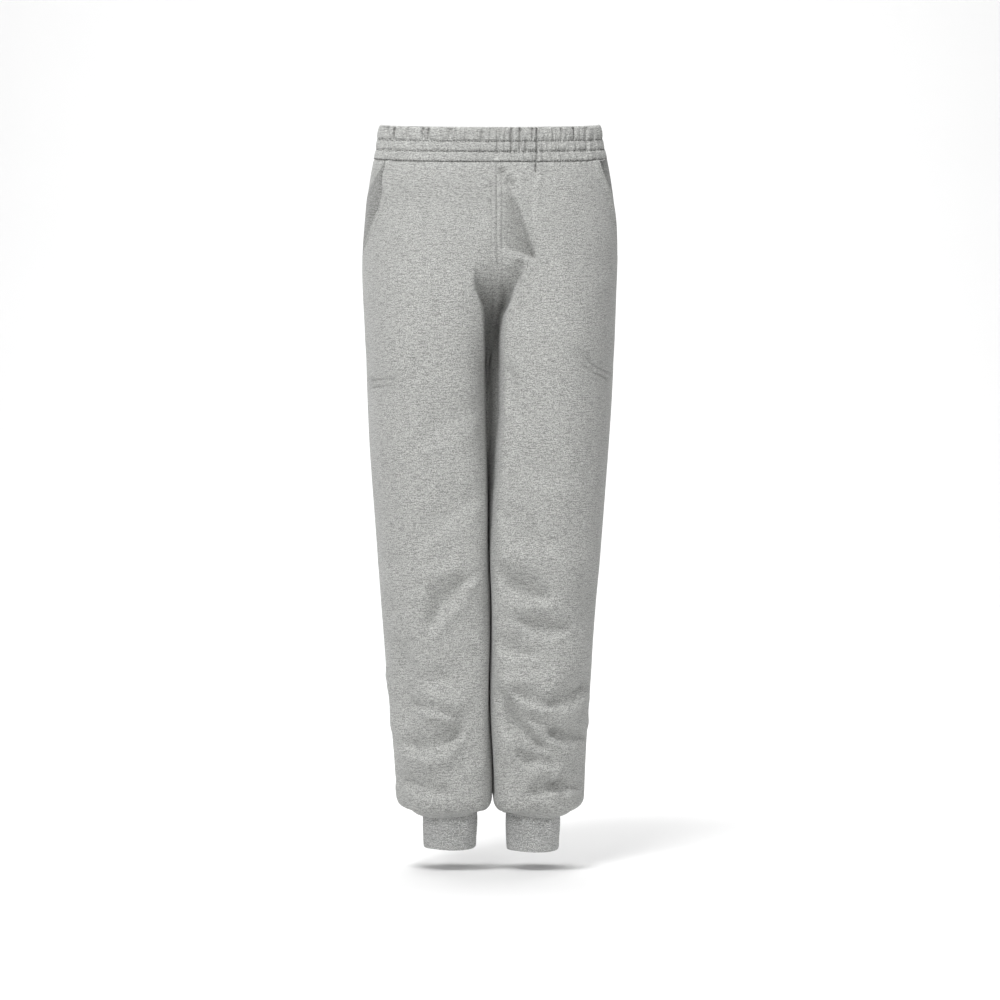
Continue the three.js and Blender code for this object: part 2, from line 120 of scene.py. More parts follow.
LEVEL_NAMES = (
    "drop", "right", "left", "front_seam", "back_seam", "front_fork", "back_fork",
    "front", "back", "axis", "soft", "square",
)
LEVELS = (
    (0, 115.8, 116.2, 6.9, 0, 0, 0, 72, 74, 0, 30, 2.3),
    (12, 117.6, 117.6, 6.9, 0, 0, 0, 73, 75, 0, 30, 2.3),
    (36, 121.4, 122.2, 6.9, 0, 0.02, 0, 76, 79, 0, 29, 2.3),
    (58, 125.3, 126.1, 7, 0, 0.1, 0.06, 81, 87, 1, 28, 2.4),
    (80, 128.4, 128.9, 7.1, 0, 0.18, 0.13, 84.5, 94, 2, 25, 2.4),
    (105, 130.9, 131.2, 7.2, 0, 0.28, 0.22, 87, 99, 2, 21, 2.5),
    (131, 132.6, 132.6, 7.4, 0, 0.42, 0.38, 88, 102, 2, 14, 2.5),
    (152, 132.8, 132.2, 7.7, 0, 0.58, 0.52, 88, 103, 2, 9, 2.6),
    (176, 132.1, 131.2, 8, 0, 0.77, 0.68, 88, 102, 1, 5, 2.7),
    (204, 130.6, 130.2, 5, 0, 0.91, 0.85, 87.5, 99, 1, 2.5, 2.9),
    (225, 129.6, 129.4, 2.2, 0, 0.965, 0.945, 87, 96, 0, 1.2, 3.1),
    (240, 128.7, 128.6, 0.4, 0, 0.993, 0.99, 86, 93.5, 0, 0.4, 3.2),
    (246, 128.4, 128.2, -0.3, -0.3, 1, 1, 85.6, 92.5, 0, 0, 3.2),
    (258, 128.1, 127.8, -1.6, -1.6, 1, 1, 85, 91, 0, 0, 3.2),
    (290, 127, 126.2, -2.2, -2.2, 1, 1, 82, 86.5, -1, 0, 3.3),
    (330, 125.2, 123.5, -2.1, -2.1, 1, 1, 78.5, 81, -2, 0, 3.6),
    (371, 122.4, 120.4, -1, -1, 1, 1, 74, 75.5, -3, 0, 4.2),
    (413, 119.2, 117.2, -0.5, -0.5, 1, 1, 70, 71.5, -3, 0, 5),
    (455, 116.2, 113.9, -0.3, -0.3, 1, 1, 66.5, 69, -3, 0, 5),
    (496, 113.1, 110, 0.3, 0.3, 1, 1, 63.5, 67.5, -2, 0, 5),
    (538, 110, 106.9, 0.2, 0.2, 1, 1, 61, 66.5, 0, 0, 5),
    (580, 106.7, 104.4, 0, 0, 1, 1, 59, 65.5, 2, 0, 5),
    (622, 102.9, 101.5, 0.8, 0.8, 1, 1, 57, 63, 4, 0, 4.6),
    (662, 99.6, 99.3, 2, 2, 1, 1, 55.5, 60, 5, 0, 4.2),
    (694, 97.2, 98, 2.6, 2.6, 1, 1, 54, 57, 6, 0, 3.8),
)
LEVEL = {name: np.array([row[i] for row in LEVELS], float) for i, name in enumerate(LEVEL_NAMES)}
CROTCH = 246
LEG_END = 694

# The bloused hem, as keep and drop: keep is 1 at the leg's own outline and 0 at the cuff's.
HEM = (
    (1, 694), (0.98, 702), (0.93, 706.5), (0.83, 710), (0.65, 712.8), (0.42, 715), (0.22, 716), (0.14, 713),
    (0.08, 708), (0, 702.5),
)
HEM_SPREAD = 27  # from the cuff's outline to the leg's
HEM_SAG = 5  # how much lower it hangs in front
HEM_KEEP, HEM_DROP = (np.array(column, float) for column in zip(*HEM))
HEM_RUN = np.concatenate([[0], np.cumsum(np.hypot(np.diff(HEM_KEEP) * HEM_SPREAD, np.diff(HEM_DROP)))])
HEM_LENGTH = HEM_RUN[-1]

# Creases, as seen from the front and from the back: x and drop of both ends, depth, width, lip and bow. lip is
# how far the cloth beside a crease stands up, and bow bends the crease sideways at its middle.
FOLD_SKEW = 0.3  # how much sharper a crease is on its lower side than on its upper one
FOLDS = {
    "front": (
        (11, 45, 13, 49, 5, 3.8, 0.8, 0), (19, 56, 21, 61, 6, 4.2, 0.8, 0), (31, 156, 30, 166, 5.5, 6, 1, 0),
        (26, 168, 16, 192, 4.4, 6.5, 0.6, 0), (-13, 168, -8, 186, 3, 5, 0.8, 0),
        (46, 37, 43, 92, 1.3, 4.5, 0.4, 1), (60, 62, 88, 120, 1.4, 16, 0.4, 0),
        (-70, 60, -50, 150, 1.2, 18, 0.4, 0), (18, 262, 24, 300, 4.1, 7, 1.2, 0),
        (-12, 300, -62, 330, 2.2, 12, 0.7, 4), (30, 345, 70, 372, 2.2, 12, 0.7, 4),
        (-16, 392, -66, 430, 2.4, 11, 1, 4), (14, 408, 52, 440, 2.7, 10, 1, 4),
        (-29, 477, -57, 515, 8.5, 8.8, 2.2, 3), (-92, 560, -82, 640, 6.5, 12, 0.8, 0),
        (-80, 648, -36, 635, 9, 9, 3, 4), (-80, 604, -38, 614, 3.6, 5, 1.6, -2),
        (-84, 683, -52, 693, 5.2, 8.8, 1.5, 0), (6, 466, 50, 492, 8.5, 9.4, 2.1, 3),
        (38, 519, 76, 524, 7.6, 7.5, 2.2, 2), (3, 538, 36, 551, 6.8, 7.5, 1.7, 2),
        (3, 595, 47, 642, 11.5, 8.8, 3, 4), (29, 589, 50, 601, 6.4, 6.2, 1.5, 0),
        (66, 601, 94, 590, 7.3, 7.5, 1.8, 2), (49, 619, 68, 634, 7.6, 7.5, 2.2, 0),
        (68, 634, 89, 636, 7.6, 7.5, 2.2, 0), (33, 654, 57, 662, 6.8, 7.5, 1.8, 1),
        (47, 693, 68, 688, 6.8, 6.9, 2.1, 0), (68, 688, 85, 689, 6.8, 6.9, 2.1, 0),
    ),
    "back": (
        (-18, 266, -98, 240, 6, 10, 1.6, 5), (20, 264, 96, 234, 6, 10, 1.6, 5),
        (-22, 300, -70, 276, 4.5, 9, 1.3, 3), (18, 306, 72, 282, 4.5, 9, 1.3, 3),
        (-100, 436, -44, 462, 6.6, 8, 2.1, 3), (-92, 486, -36, 474, 5.4, 7, 2, -3),
        (-70, 512, -24, 530, 3.9, 6, 1.3, 2), (98, 430, 46, 458, 6.6, 8, 2.1, -3),
        (88, 490, 30, 480, 5.4, 7, 2, 3), (78, 520, 36, 536, 3.9, 6, 1.3, -2),
        (-18, 560, -66, 596, 5.4, 8, 1.6, 3), (92, 566, 40, 604, 5.4, 8, 1.6, 3),
        (-84, 650, -30, 668, 6, 8, 2, 4), (22, 640, 78, 662, 6, 8, 2, -4),
        (-70, 622, -42, 628, 3.9, 6, 1.3, 0), (46, 684, 80, 680, 4.2, 6, 1.3, 0),
    ),
}

# Sharp tucks of the waistband that show in front: x, from drop, to drop, depth and half width.
TUCKS = (
    (-105, 0, 28, 3, 2.6), (-98.5, 0, 13, 5, 1.5), (-99, 16, 25, 2.2, 1.6), (-84, 0, 12, 3, 1.8),
    (-68, 0, 12, 3.4, 1.8), (-62.5, 0, 13, 3.4, 1.5), (-41, 0, 11, 2.6, 2), (-8, 6, 14, 2.4, 3),
    (7.8, 0, 36, 3, 1), (22, 0, 25, 4, 1.3), (31, 0, 24, 3.4, 1.5), (37, 15, 25, 3, 1.6),
    (43.5, 0, 12, 3.6, 1.3), (47.6, 0, 46, 5, 1.2), (52, 0, 8, 3, 2), (73, 0, 12, 2.6, 1.8),
    (86, 0, 13, 4.2, 1.4), (99, 0, 28, 2.4, 2),
)

# The three-cornered trough beside the middle seam, level by level: its sharp edge, how wide it is beside it and
# how deep. It ends in a sharp lower edge.
TROUGH = {
    "drop": (64, 74, 84, 100, 117, 132, 150),
    "edge": (22, 23, 26, 30.5, 35.5, 40, 45.5),
    "width": (4, 6, 9, 12, 16, 19, 21),
    "depth": (0, 4, 9, 13, 16, 19, 20),
}
TROUGH_FOOT = (21.6, 139, 0.27)  # x and drop of its lower corner, and the slope of its lower edge

# The recess above the crotch and on between the legs, level by level: where it lies and how deep it is.
RECESS = {
    "drop": (150, 164, 176, 190, 204, 218, 232, 246, 262, 300, 332, 370, 400, 450),
    "left": (-15, -15, -14, -9, -7, -6.5, -6, -5.5, -5.5, -5.5, -5, -4.5, -4, -3),
    "right": (31, 29, 24, 18, 14, 12, 11, 11, 12, 12, 10, 8, 5, 3),
    "depth": (0, 5, 16, 32, 44, 52, 56, 56, 54, 50, 42, 28, 14, 0),
}

# Where the pocket bags are stitched to the fronts, as x and drop from the side to the middle.
BAG_STITCHES = {
    "right": ((-122, 276), (-98, 275), (-91, 271), (-82, 268), (-76, 264), (-72, 259), (-67, 247)),
    "left": ((122, 267), (107, 262), (101, 258), (95, 253), (90, 248), (84, 240)),
}
BAG_STITCH_APART = 7
MOUTH_STITCHES = (2.4, 8.4)  # from the mouth's edge
STITCH_PITCH = 3.0
STITCH_HEIGHT = 0.5
STITCH_LIFT = 0.05  # off the cloth
LOOSE_TUCKS = 150
TUCK_RADIUS = 105  # of the waist, to turn an angle into a length

JERSEY_KNIT = (700, 950)  # wales and courses in a metre of cloth
RIB_KNIT = (620, 900)

# The stage, in metres.
FLOOR_ROWS = 60
FLOOR_WIDTH = 24
FLOOR_BEND = 2.5  # where the floor starts to bend up behind the garment, and the bend's radius
FLOOR_BELOW = 0.02
SKY_STRENGTH = 0.22
CAMERA_LENS = 110  # in millimetres
CAMERA_PLACE = (0.0104, -3.19, -0.374)
LIGHTS = (  # name, place, size, watts, and the place that it points at
    ("key", (-0.55, -1.37, 1.95), 0.9, 57, (0, 0, -0.2)),
    ("front", (-1.1, -2.4, 0.7), 0.6, 22, (0, 0, -0.4)),
    ("fill", (1.5, -2.3, 0.5), 1.6, 15, (0, 0, -0.2)),
    ("back", (0, 1.2, 2.6), 2.4, 138, (0, 3.4, 0.2)),
)


class JoggerSettings(bpy.types.PropertyGroup):
    """Sizes and colours that a user would change."""

    cloth: FloatProperty(
        name="Cloth", description="Thickness of the brushed jersey", default=0.0018, min=0.001, max=0.003,
        subtype="DISTANCE", unit="LENGTH",
    )
    crease: FloatProperty(name="Creases", description="Strength of the creases", default=1.0, min=0, max=1.5)
    gathers: IntProperty(name="Gathers", description="Ripples in the waistband", default=64, min=20, max=90)
    marl: FloatProperty(
        name="Marl", description="Contrast of the light and dark yarns", default=1.0, min=0, max=2,
    )
    jersey_colour: FloatVectorProperty(
        name="Jersey", description="Mean colour of the marled jersey", default=(0.376, 0.379, 0.366),
        subtype="COLOR", size=3, min=0, max=1,
    )
    rib_colour: FloatVectorProperty(
        name="Rib", description="Mean colour of the cuffs", default=(0.6, 0.605, 0.592),
        subtype="COLOR", size=3, min=0, max=1,
    )
    thread_colour: FloatVectorProperty(
        name="Thread", description="Colour of the sewing thread", default=(0.3, 0.3, 0.29),
        subtype="COLOR", size=3, min=0, max=1,
    )
    floor_colour: FloatVectorProperty(
        name="Floor", description="Colour of the studio floor", default=(0.86, 0.86, 0.86),
        subtype="COLOR", size=3, min=0, max=1,
    )


def smoothstep(value, low, high):
    share = np.clip((value - low) / (high - low), 0, 1)
    return share * share * (3 - 2 * share)


def bell(distance, width):
    return np.exp(-((distance / width) ** 2))


def smooth_curve(at, knots, values):
    """A smooth value between knots that never overshoots them."""
    at, knots, values = np.asarray(at, float), np.asarray(knots, float), np.asarray(values, float)
    slopes = np.diff(values) / np.diff(knots)
    before, after = slopes[:-1], slopes[1:]
    rising = before * after > 0
    middle = np.where(rising, 2 * before * after / np.where(rising, before + after, 1), 0)
    tangents = np.concatenate([slopes[:1], middle, slopes[-1:]])
    i = np.clip(np.searchsorted(knots, at, side="right") - 1, 0, len(knots) - 2)
    span = knots[i + 1] - knots[i]
    t = np.clip((at - knots[i]) / span, 0, 1)
    rise = t * t * (3 - 2 * t)
    lean = (1 - t) * tangents[i] - t * tangents[i + 1]
    return values[i] * (1 - rise) + values[i + 1] * rise + span * t * (1 - t) * lean


def curves(table, drop):
    """The values at a drop of all that a table lists beside it."""
    return (smooth_curve(drop, table["drop"], table[name]) for name in table if name != "drop")


def level(drop, name):
    return smooth_curve(drop, LEVEL["drop"], LEVEL[name])


def sign_of(side):
    return -1 if side == "right" else 1


def stack(x, y, z):
    return np.stack(np.broadcast_arrays(x, y, z), axis=-1).astype(float)


def lobe(side, drop, is_front):
    """One leg's share of a section: its seam, fork, centre, half width and depth."""
    pick = lambda front, back: np.where(is_front, level(drop, front), level(drop, back))
    seam = pick("front_seam", "back_seam")
    fork = pick("front_fork", "back_fork")
    reach = level(drop, side) - sign_of(side) * seam
    centre = reach * fork / (1 + fork) + LEG_GAP / 2
    return seam, fork, centre, reach - centre, pick("front", "back")


def skin(side, angle, drop):
    """The outside of the cloth before it is creased. angle is 0 at the side and negative in front."""
    angle, drop = np.broadcast_arrays(np.asarray(angle, float), np.asarray(drop, float))
    is_front = angle < 0
    seam, fork, centre, half, depth = lobe(side, drop, is_front)
    across, along = np.cos(angle), np.sin(angle)
    power = np.where(across < 0, level(drop, "square"), OUTER_SQUARE)
    radius = (np.abs(across / half) ** power + np.abs(along / depth) ** power) ** (-1 / power)
    out, forward = centre + radius * across, radius * along
    softened = np.minimum(np.hypot(out, level(drop, "soft")), centre)
    share = np.clip((centre - softened) / half, 0, 1)
    valley = np.sign(angle) * depth * (1 - share**power) ** (1 / power)
    forward = np.where((fork < 1) & (out < centre), valley, forward)
    y = level(drop, "axis") + forward
    tilt = np.where(y < 0, FRONT_TILT, BACK_TILT) * (1 - smoothstep(drop, BAND_DROP, TILT_END))
    return stack(seam + sign_of(side) * out, y, HOLD_DROP - drop + tilt * y)


def cuff_point(side, angle, drop, out):
    x = sign_of(side) * (CUFF_X[side] + (CUFF_HALF_WIDTH + out) * np.cos(angle))
    return stack(x, CUFF_BACK + (CUFF_HALF_DEPTH + out) * np.sin(angle), HOLD_DROP - drop)


def angle_at(side, drop, is_front, distance):
    """The angle at which the cloth comes within a distance of the rise seam or the slit."""
    sign = -1 if is_front else 1
    seam = level(drop, "front_seam" if is_front else "back_seam")
    low, high = np.zeros_like(drop, float), np.full_like(drop, ALMOST_HALF_TURN, dtype=float)
    far = sign_of(side) * (skin(side, sign * high, drop)[..., 0] - seam) > distance
    for _ in range(40):
        middle = (low + high) / 2
        outside = sign_of(side) * (skin(side, sign * middle, drop)[..., 0] - seam) > distance
        low, high = np.where(outside, middle, low), np.where(outside, high, middle)
    return sign * np.where(far, ALMOST_HALF_TURN, low)


def side_angle(side, drop):
    return math.radians(SIDE_TURN[side]) * (1 - smoothstep(drop, BAND_DROP, SIDE_TURN_END))


def mouth_angle(side, drop):
    """How far in front of the side seam the pocket mouth lies."""
    edge = np.radians(smooth_curve(drop, MOUTH_DROPS, MOUTH_TURN[side]))
    return np.where(drop < MOUTH_END, np.maximum(0, edge + side_angle(side, drop)), 0)


def fold_press(face, x, drop):
    """How far the creases press the cloth in at a place of the front or back view."""
    press = np.zeros_like(x)
    for x0, drop0, x1, drop1, depth, width, lip, bow in FOLDS[face]:
        run = np.array([x1 - x0, drop1 - drop0], float)
        length = np.hypot(*run)
        ahead, beside = run / length, np.array([-run[1], run[0]]) / length
        away_x, away_drop = x - x0, drop - drop0
        along = (away_x * ahead[0] + away_drop * ahead[1]) / length
        share = np.clip(along, -1, 2)
        across = away_x * beside[0] + away_drop * beside[1] - bow * 4 * share * (1 - share)
        below = across * (-1 if run[0] < 0 else 1)
        past = length * np.maximum(0, np.maximum(-along, along - 1))
        wide = width * (0.75 + 0.5 * np.clip(share * (1 - share) * 4, 0, 1))
        wide = wide * np.where(below > 0, 1 - FOLD_SKEW, 1 + FOLD_SKEW)
        lips = bell(across - 2 * wide, wide) + bell(across + 2 * wide, wide)
        press += bell(past, width * 1.2) * (depth * bell(across, wide) - lip * lips)
    return press


def soft_noise(u, v, size_u, size_v, seed):
    """Smooth noise from -1 to 1 with lumps of the given sizes."""
    grid = np.random.default_rng(seed).uniform(-1, 1, (64, 64))
    a, b = u / size_u + seed, v / size_v + seed
    i, j = np.floor(a).astype(int), np.floor(b).astype(int)
    s, t = a - i, b - j
    s, t = s * s * (3 - 2 * s), t * t * (3 - 2 * t)
    corner = lambda di, dj: grid[(i + di) % 64, (j + dj) % 64]
    near, far = (corner(0, side) * (1 - s) + corner(1, side) * s for side in (0, 1))
    return near * (1 - t) + far * t


def running_length(points, axis):
    step = np.linalg.norm(np.diff(points, axis=axis), axis=-1)
    start = np.zeros_like(np.take(step, [0], axis=axis))
    return np.concatenate([start, np.cumsum(step, axis=axis)], axis=axis)


def distance_to_route(x, drop, route):
    nearest = np.full_like(x, 1e9)
    for (x0, d0), (x1, d1) in zip(route[:-1], route[1:]):
        run = np.array([x1 - x0, d1 - d0], float)
        share = np.clip(((x - x0) * run[0] + (drop - d0) * run[1]) / (run @ run), 0, 1)
        nearest = np.minimum(nearest, np.hypot(x - x0 - share * run[0], drop - d0 - share * run[1]))
    return nearest


def moved_route(route, away):
    """The same route moved up and in by a distance."""
    points = np.array(route, float)
    tangent = np.gradient(points, axis=0)
    tangent /= np.linalg.norm(tangent, axis=1, keepdims=True)
    normal = np.stack([tangent[:, 1], -tangent[:, 0]], axis=1)
    if normal[0, 1] > 0:
        normal = -normal
    return [tuple(point) for point in points + normal * away]


def leg_heart(side):
    """A point inside a leg, which the cloth faces away from."""
    return np.array([sign_of(side) * 60, 0, -200])


def leg_down():
    """Distances down a leg panel: level by level, then on round the bloused hem."""
    drops = np.arange(BAND_DROP, LEG_END, PANEL_STEP)
    return np.concatenate([drops, LEG_END + np.arange(0, HEM_LENGTH + 0.1, PANEL_STEP * 0.6)])


def leg_form(side, angle, down):
    """The outside of a leg before it is creased, on round the bloused hem."""
    body = skin(side, angle, np.minimum(down, LEG_END))
    run = np.clip(down - LEG_END, 0, HEM_LENGTH)
    keep = smooth_curve(run, HEM_RUN, HEM_KEEP) + 0 * angle
    hem_drop = smooth_curve(run, HEM_RUN, HEM_DROP) + 0 * angle
    hang = smoothstep(run, 4, 20) * (1 - smoothstep(run, HEM_LENGTH - 12, HEM_LENGTH - 2))
    hem_drop = hem_drop + HEM_SAG * hang * np.maximum(0, -np.sin(angle)) ** 2.5
    seam = cuff_point(side, angle, hem_drop, CUFF_CLEAR)
    rolled = seam + (body - seam) * keep[..., None]
    rolled[..., 2] = HOLD_DROP - hem_drop
    return np.where((down + 0 * angle > LEG_END)[..., None], rolled, body)


def leg_normal(side, angle, down):
    """The unit normal that leaves the cloth outwards."""
    around = leg_form(side, angle + 0.01, down) - leg_form(side, angle - 0.01, down)
    along = leg_form(side, angle, down + 0.4) - leg_form(side, angle, down - 0.4)
    normal = sign_of(side) * np.cross(along, around)
    return normal / np.maximum(np.linalg.norm(normal, axis=-1, keepdims=True), 1e-9)


def trough(x, drop):
    """How far the cloth beside the middle seam sinks: softly towards a sharp edge, and sharply up again."""
    edge, width, depth = curves(TROUGH, drop)
    past = x - edge
    foot_x, foot_drop, slope = TROUGH_FOOT
    below = drop - foot_drop - slope * (x - foot_x)
    depth = np.where(drop < TROUGH["drop"][0], 0, depth) * (1 - smoothstep(below, -1.5, 2.5))
    lip = 1.6 * bell(past - 5, 3) * smoothstep(depth, 1, 6)
    ledge = 2.2 * bell(below - 5, 3.5) * bell(x - 33, 12)
    return depth * bell(past, np.where(past > 0, 2.2, width)) - lip - ledge


def recess(x, drop):
    """How far the cloth at the crotch sinks back, more softly beside the left leg than beside the right one."""
    left, right, depth = curves(RECESS, drop)
    depth = np.where((drop > RECESS["drop"][0]) & (drop < RECESS["drop"][-1]), depth, 0)
    inside = smoothstep(x, left - 1, left + 2.5) * (1 - smoothstep(x, right - 6, right + 4))
    ridge = 0.45 * bell(x - level(drop, "front_seam"), 3) * (1 - smoothstep(drop, 190, 214))
    return depth * inside * (1 - ridge)


def leg_grid(side, is_front):
    """The creased outside of a leg panel as a grid of points, with its flat measures."""
    down = leg_down()[:, None]
    drop = np.minimum(down, LEG_END)
    inner = angle_at(side, drop, is_front, 0.06)
    turn = side_angle(side, drop)
    outer = turn - (mouth_angle(side, drop) if is_front else 0)
    corner = 0.9 * np.clip(inner, -CORNER_TURN, CORNER_TURN)
    share = np.linspace(0, 1, PANEL_COLUMNS)[None, :]
    in_face = np.clip((share - INSIDE_SHARE) / (1 - INSIDE_SHARE), 0, 1)
    in_face = in_face - 0.45 * np.sin(2 * math.pi * in_face) / (2 * math.pi)
    angle = inner + (corner - inner) * np.minimum(share / INSIDE_SHARE, 1)
    angle = np.where(share < INSIDE_SHARE, angle, corner + (outer - corner) * in_face)
    points = leg_form(side, angle, down)
    outward = leg_normal(side, angle, down)
    x, y = points[..., 0], points[..., 1]
    across = running_length(points, 1)
    from_inner, from_outer = across, across[:, -1:] - across
    half = level(drop, side) / 2
    from_side = from_outer + np.abs(turn - outer) * np.where(drop < MOUTH_END, 2 * half, half)
    sign = sign_of(side)
    u = from_side * sign + PANEL_SIDE
    middle = level(drop, "front_seam" if is_front else "back_seam")
    crease = bpy.context.scene.jogger.crease

    # The creases, the rumpled cloth and the hem's gathers.
    in_legs = smoothstep(down, CROTCH - 70, CROTCH - 4)
    off_slit = sign * (x - middle)
    calm = 1 - in_legs * (1 - smoothstep(off_slit, 2, 20))
    calm = calm * smoothstep(from_side, 2, 16)
    shade = np.abs(np.sin(angle)) ** 0.5 * (1 - in_legs * (1 - smoothstep(off_slit, 0, 7)))
    press = fold_press("front" if is_front else "back", x, down) * shade * calm
    low_leg = smoothstep(down, 380, 520)
    seed = 3 if is_front else 11
    rough = (0.6 + 2.8 * low_leg) * soft_noise(u, down, 44, 24, seed)
    rough += (0.3 + 0.7 * low_leg) * soft_noise(u, down, 19, 12, seed + 1)
    if is_front:
        press += trough(x, drop + 0 * x)
    press = crease * (press + rough * calm)
    gather = np.sin(7 * angle + 1.2 * np.sin(3 * angle + 1)) + 0.4 * np.sin(17 * angle)
    press += 0.9 * calm * gather * smoothstep(down, 676, 716) * (0.6 + 0.4 * np.sin(5 * angle))

    # The waistband's gathers and tucks, which fade out below it.
    press += 0.6 * np.exp(-(down - BAND_DROP) / 11) * band_ripple(side, angle, 2)
    waist = turn_at(side, angle)
    tucks = sharp_tucks(waist, x, down + 0 * x) + loose_tucks(waist, down + 0 * x)
    press += np.where(y < 0, tucks * (down > BAND_DROP), 0)
    press += 1.1 * bell(down - BAND_DROP, 1.6)

    # The seams at the rise and at the side or the pocket mouth, and the stitching of the bag.
    ridge = 0.6 * bell(from_inner, 1.3) - 0.8 * bell(from_inner - 2.6, 2) + 0.6 * bell(from_inner - 5.6, 1)
    press += (1 - smoothstep(down, CROTCH - 50, CROTCH - 16)) * ridge
    at_mouth = is_front & (drop < MOUTH_END)
    press += np.where(at_mouth, 0, 0.5) * bell(from_outer, 1.5)
    press -= np.where(at_mouth, 0, 0.6) * bell(from_outer - 3.6, 2.2)
    lift = np.where(at_mouth, 2.2, 0) * (1 - smoothstep(drop, MOUTH_END - 46, MOUTH_END - 4))
    press -= lift * (1 - smoothstep(from_outer, 7.5, 12))
    press += np.where(at_mouth, 0.6, 0) * (bell(from_outer - 2.2, 0.9) + bell(from_outer - 8.2, 1))
    if is_front:
        for away in (0, BAG_STITCH_APART):
            press += 1.5 * bell(distance_to_route(x, down, moved_route(BAG_STITCHES[side], away)), 1.6)
    points = points - outward * press[..., None]
    if is_front:
        sink = crease * recess(x, down + 0 * x)
        points[..., 1] += sink * smoothstep(-y, 4, 4 + np.maximum(32, 1.5 * sink))

    # At the rise seam both sides stay together. Below it the legs touch along one wavy line, so that nothing
    # shows between them.
    hold = np.where(down < CROTCH, smoothstep(from_inner, 0, 5), 1)
    out = sign * (x + (points[..., 0] - x) * hold - middle)
    in_leg = (down >= CROTCH) & (down <= LEG_END)
    out = np.where(in_leg, np.maximum(out, LEG_GAP / 2), out)
    sway = 0.9 * np.sin(y / 7 + down / 40) * bell(out, 6) * smoothstep(down, CROTCH - 14, CROTCH + 6)
    points[..., 0] = middle + sign * out + sway * (1 - smoothstep(down, LEG_END, LEG_END + 8))
    return points, np.stack([u, np.broadcast_to(down, u.shape)], axis=-1)


def turn_at(side, angle):
    """The angle all round the waist, from the middle of the front, of an angle of one side."""
    return np.where(side == "left", angle + math.pi / 2, 3 * math.pi / 2 - angle)


def round_waist(turn, drop):
    """The side, the angle and the place of the cloth at angles all round the waist."""
    is_left = turn <= math.pi
    angle = np.where(is_left, turn - math.pi / 2, 3 * math.pi / 2 - turn)
    both = (skin(side, angle, drop + 0 * turn) for side in ("left", "right"))
    return np.where(is_left, "left", "right"), angle, np.where(is_left[..., None], *both)


def band_ripple(side, angle, channel):
    """The waistband's soft gathers, from about -1 to 1, at an angle of one side."""
    turn = turn_at(side, angle)
    gathers = bpy.context.scene.jogger.gathers
    slow = 1.9 * np.sin(5 * turn + 0.5 * channel) + 1.3 * np.sin(11 * turn + 0.9 * channel)
    strength = 0.55 + 0.45 * np.sin(7 * turn + 2 + 0.8 * channel) * np.sin(3 * turn + 0.6)
    fine = np.sin(gathers * turn + slow) + np.sin(1.7 * gathers * turn + 2.1 * channel - slow)
    return strength * (fine + 0.5 * np.sin(0.6 * gathers * turn + slow)) / 1.4


def sharp_tucks(turn, x, drop):
    """How far the sharp tucks in front, and the cloth just below them, sink."""
    press = np.zeros(np.broadcast(turn, x, drop).shape)
    in_front = np.cos(turn) > 0.2
    for place, first, last, depth, width in TUCKS:
        along = smoothstep(drop, first - 3, first + 1) * (1 - smoothstep(drop, last - 1, last + 3))
        press += in_front * depth * along * (bell(x - place, width) - 0.3 * bell(x - place - 3, 2))
    return press


def loose_tucks(turn, drop):
    """How far the small tucks all round the waistband, and the cloth just below them, sink."""
    press = np.zeros(np.broadcast(turn, drop).shape)
    chance = np.random.default_rng(8)
    for _ in range(LOOSE_TUCKS):
        place, width, depth = chance.uniform(0, 2 * math.pi), chance.uniform(1.1, 2.2), chance.uniform(0.2, 1)
        middle, high = chance.choice((5, 5, 6, 18, 29)), chance.uniform(4, 8)
        lean = chance.uniform(-0.25, 0.25)
        away = TUCK_RADIUS * (np.mod(turn - place + math.pi, 2 * math.pi) - math.pi)
        press += depth * bell(drop - middle, high) * bell(away + lean * (drop - middle), width)
    return press


def fresh():
    """Leaves object mode clean, with nothing selected."""
    if bpy.context.object and bpy.context.object.mode != "OBJECT":
        bpy.ops.object.mode_set(mode="OBJECT")
    bpy.ops.object.select_all(action="DESELECT")


def place_vertices(piece, rows, columns, points, flat):
    """Moves a grid's or ring's vertices to the points and writes the cloth's flat measures as its UV map."""
    mesh = piece.data
    mesh.vertices.foreach_set("co", (points[rows, columns] * MM).astype(np.float32).ravel())
    corners = np.empty(len(mesh.loops), np.int32)
    mesh.loops.foreach_get("vertex_index", corners)
    layer = mesh.uv_layers[0] if mesh.uv_layers else mesh.uv_layers.new(name="flat")
    layer.name = "flat"
    layer.data.foreach_set("uv", (flat[rows, columns][corners] * MM).astype(np.float32).ravel())
    mesh.update()


def grid_piece(name, points, flat, heart):
    """A sheet of cloth from a grid of points, facing away from its heart."""
    rows, columns = points.shape[:2]
    row, column = rows // 3, columns // 2
    corner = points[row, column]
    facing = np.cross(points[row, column + 1] - corner, corner - points[row + 1, column])
    if facing @ (corner - heart) < 0:
        points, flat = points[:, ::-1], flat[:, ::-1]
    fresh()
    bpy.ops.mesh.primitive_grid_add(x_subdivisions=columns - 1, y_subdivisions=rows - 1, size=1)
    piece = bpy.context.object
    piece.name = piece.data.name = name
    start = np.empty(len(piece.data.vertices) * 3, np.float32)
    piece.data.vertices.foreach_get("co", start)
    start = start.reshape(-1, 3)
    column = np.rint((start[:, 0] + 0.5) * (columns - 1)).astype(int)
    row = np.rint((0.5 - start[:, 1]) * (rows - 1)).astype(int)
    place_vertices(piece, row, column, points, flat)
    return piece


